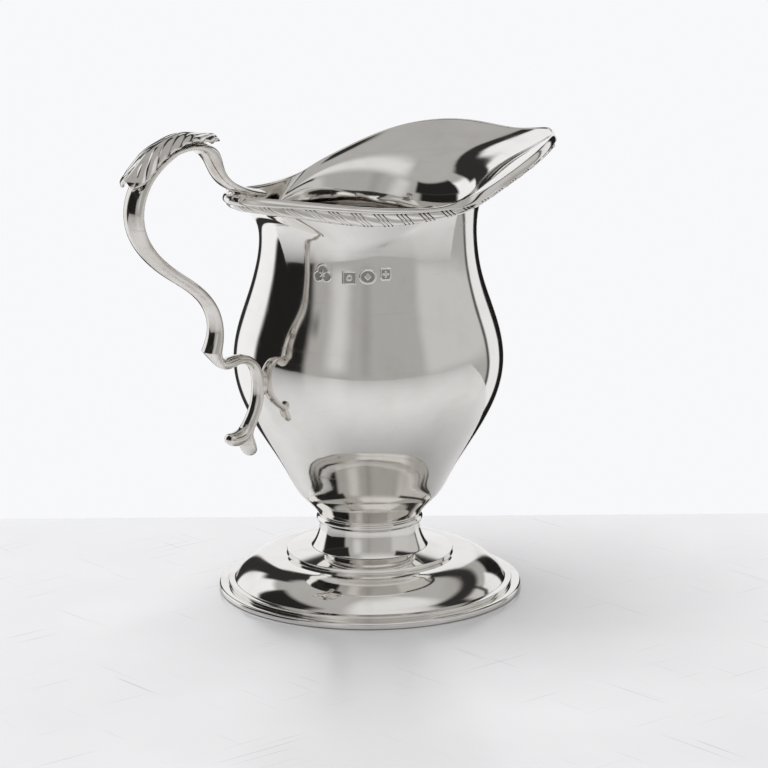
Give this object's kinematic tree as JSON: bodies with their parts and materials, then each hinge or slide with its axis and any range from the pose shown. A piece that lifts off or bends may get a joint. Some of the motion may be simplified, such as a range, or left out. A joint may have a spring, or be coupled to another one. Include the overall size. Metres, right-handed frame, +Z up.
{
  "type": "cream jug",
  "caption": "Polished silver cream jug: baluster bowl with a wide pouring lip and gadrooned border, cast scroll handle with leaf thumb-piece, on a stepped spreading foot.",
  "frame": {"origin": "centre of the foot on the surface that the jug stands on", "axes": "+Z up along the axis of the bowl and foot, +X towards the pouring lip, handle on the -X side, mirror plane Y = 0"},
  "size_m": [0.1317, 0.075, 0.1187],
  "materials": {
    "bowl_silver": "raised sterling silver, mirror polished, with fine wear scratches",
    "foot_silver": "spun sterling silver, mirror polished",
    "border_silver": "cast and chased sterling silver, polished on the high parts, dark in the grooves",
    "handle_silver": "cast sterling silver, polished, slightly worn and warm in the hollows",
    "solder": "silver solder, duller than the sheet"
  },
  "bodies": {
    "root": {"foot_base_ring": "foot_silver", "foot_pedestal": "foot_silver", "foot_collar": "foot_silver", "bowl": "bowl_silver", "lip_wire": "border_silver", "gadroon_border_left": "border_silver", "gadroon_border_right": "border_silver", "handle_rim_bracket": "handle_silver", "handle_main_scroll": "handle_silver", "handle_lower_scroll": "handle_silver", "handle_forked_tail": "handle_silver", "handle_leaf_cap": "handle_silver", "solder_at_lip": "solder", "solder_at_belly": "solder"}
  },
  "joints": []
}
